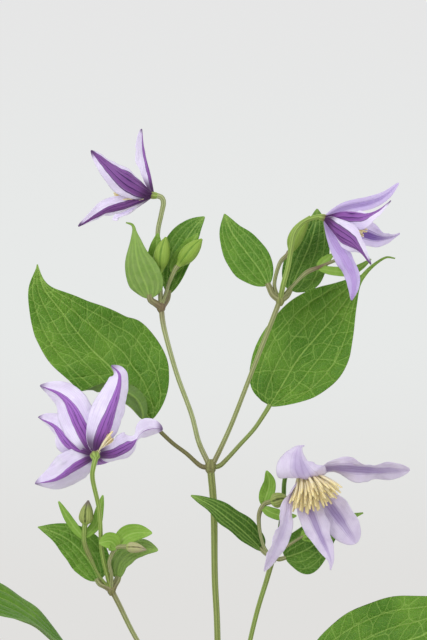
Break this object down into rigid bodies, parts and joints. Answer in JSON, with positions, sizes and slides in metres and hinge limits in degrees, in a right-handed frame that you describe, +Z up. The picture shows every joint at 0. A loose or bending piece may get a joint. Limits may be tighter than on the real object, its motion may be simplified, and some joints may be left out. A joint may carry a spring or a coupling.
{
  "type": "potted clematis",
  "caption": "Flowering clematis in a plain clay pot: upright stem with opposite ovate leaves, side shoots with buds and nodding star-shaped lavender flowers banded violet",
  "frame": {"origin": "centre of the pot's flat underside, on the surface that it stands on", "axes": "+Z up along the main stem; the plant shows its flowers to -Y; +X to the right of that view"},
  "size_m": [0.2842, 0.16, 0.5365],
  "materials": {
    "pot_clay": "unglazed fired clay, matt, faint turning marks",
    "potting_soil": "damp crumbly potting compost",
    "stem": "fresh green stem, satin, ribbed, brownish purple at the nodes",
    "leaf": "fresh leaf, satin above with paler veins, paler and duller below",
    "bud": "fresh flower bud, satin, ribbed",
    "sepal": "soft petal-like sepal, matt, pale lavender with a violet band of ribs outside",
    "stamen": "cream filaments and anthers, matt"
  },
  "bodies": {
    "root": {"pot": "pot_clay", "soil": "potting_soil", "leaf_upper_left": "leaf", "leaf_upper_right": "leaf", "leaf_lower_left": "leaf", "leaf_lower_right": "leaf", "leaf_basal_front": "leaf", "leaf_basal_back": "leaf", "leaf_small_ul_left": "leaf", "leaf_small_ul_right": "leaf", "leaf_small_ur_left": "leaf", "leaf_small_ur_right": "leaf", "leaf_small_ll_left": "leaf", "leaf_small_ll_right": "leaf", "leaf_small_lr_left": "leaf", "leaf_small_lr_right": "leaf", "bud_ul_centre": "bud", "bud_ul_right": "bud", "bud_ur_big": "bud", "bud_ur_small": "bud", "bud_ll_left": "bud", "bud_ll_right": "bud", "bud_lr": "bud", "flower_ul_sepals": "sepal", "flower_ul_stamens": "stamen", "flower_ur_sepals": "sepal", "flower_ur_stamens": "stamen", "flower_ll_sepals": "sepal", "flower_ll_stamens": "stamen", "flower_lr_sepals": "sepal", "flower_lr_stamens": "stamen", "main_stem": "stem", "shoot_upper_left": "stem", "shoot_upper_right": "stem", "shoot_lower_left": "stem", "shoot_lower_right": "stem"}
  },
  "joints": []
}
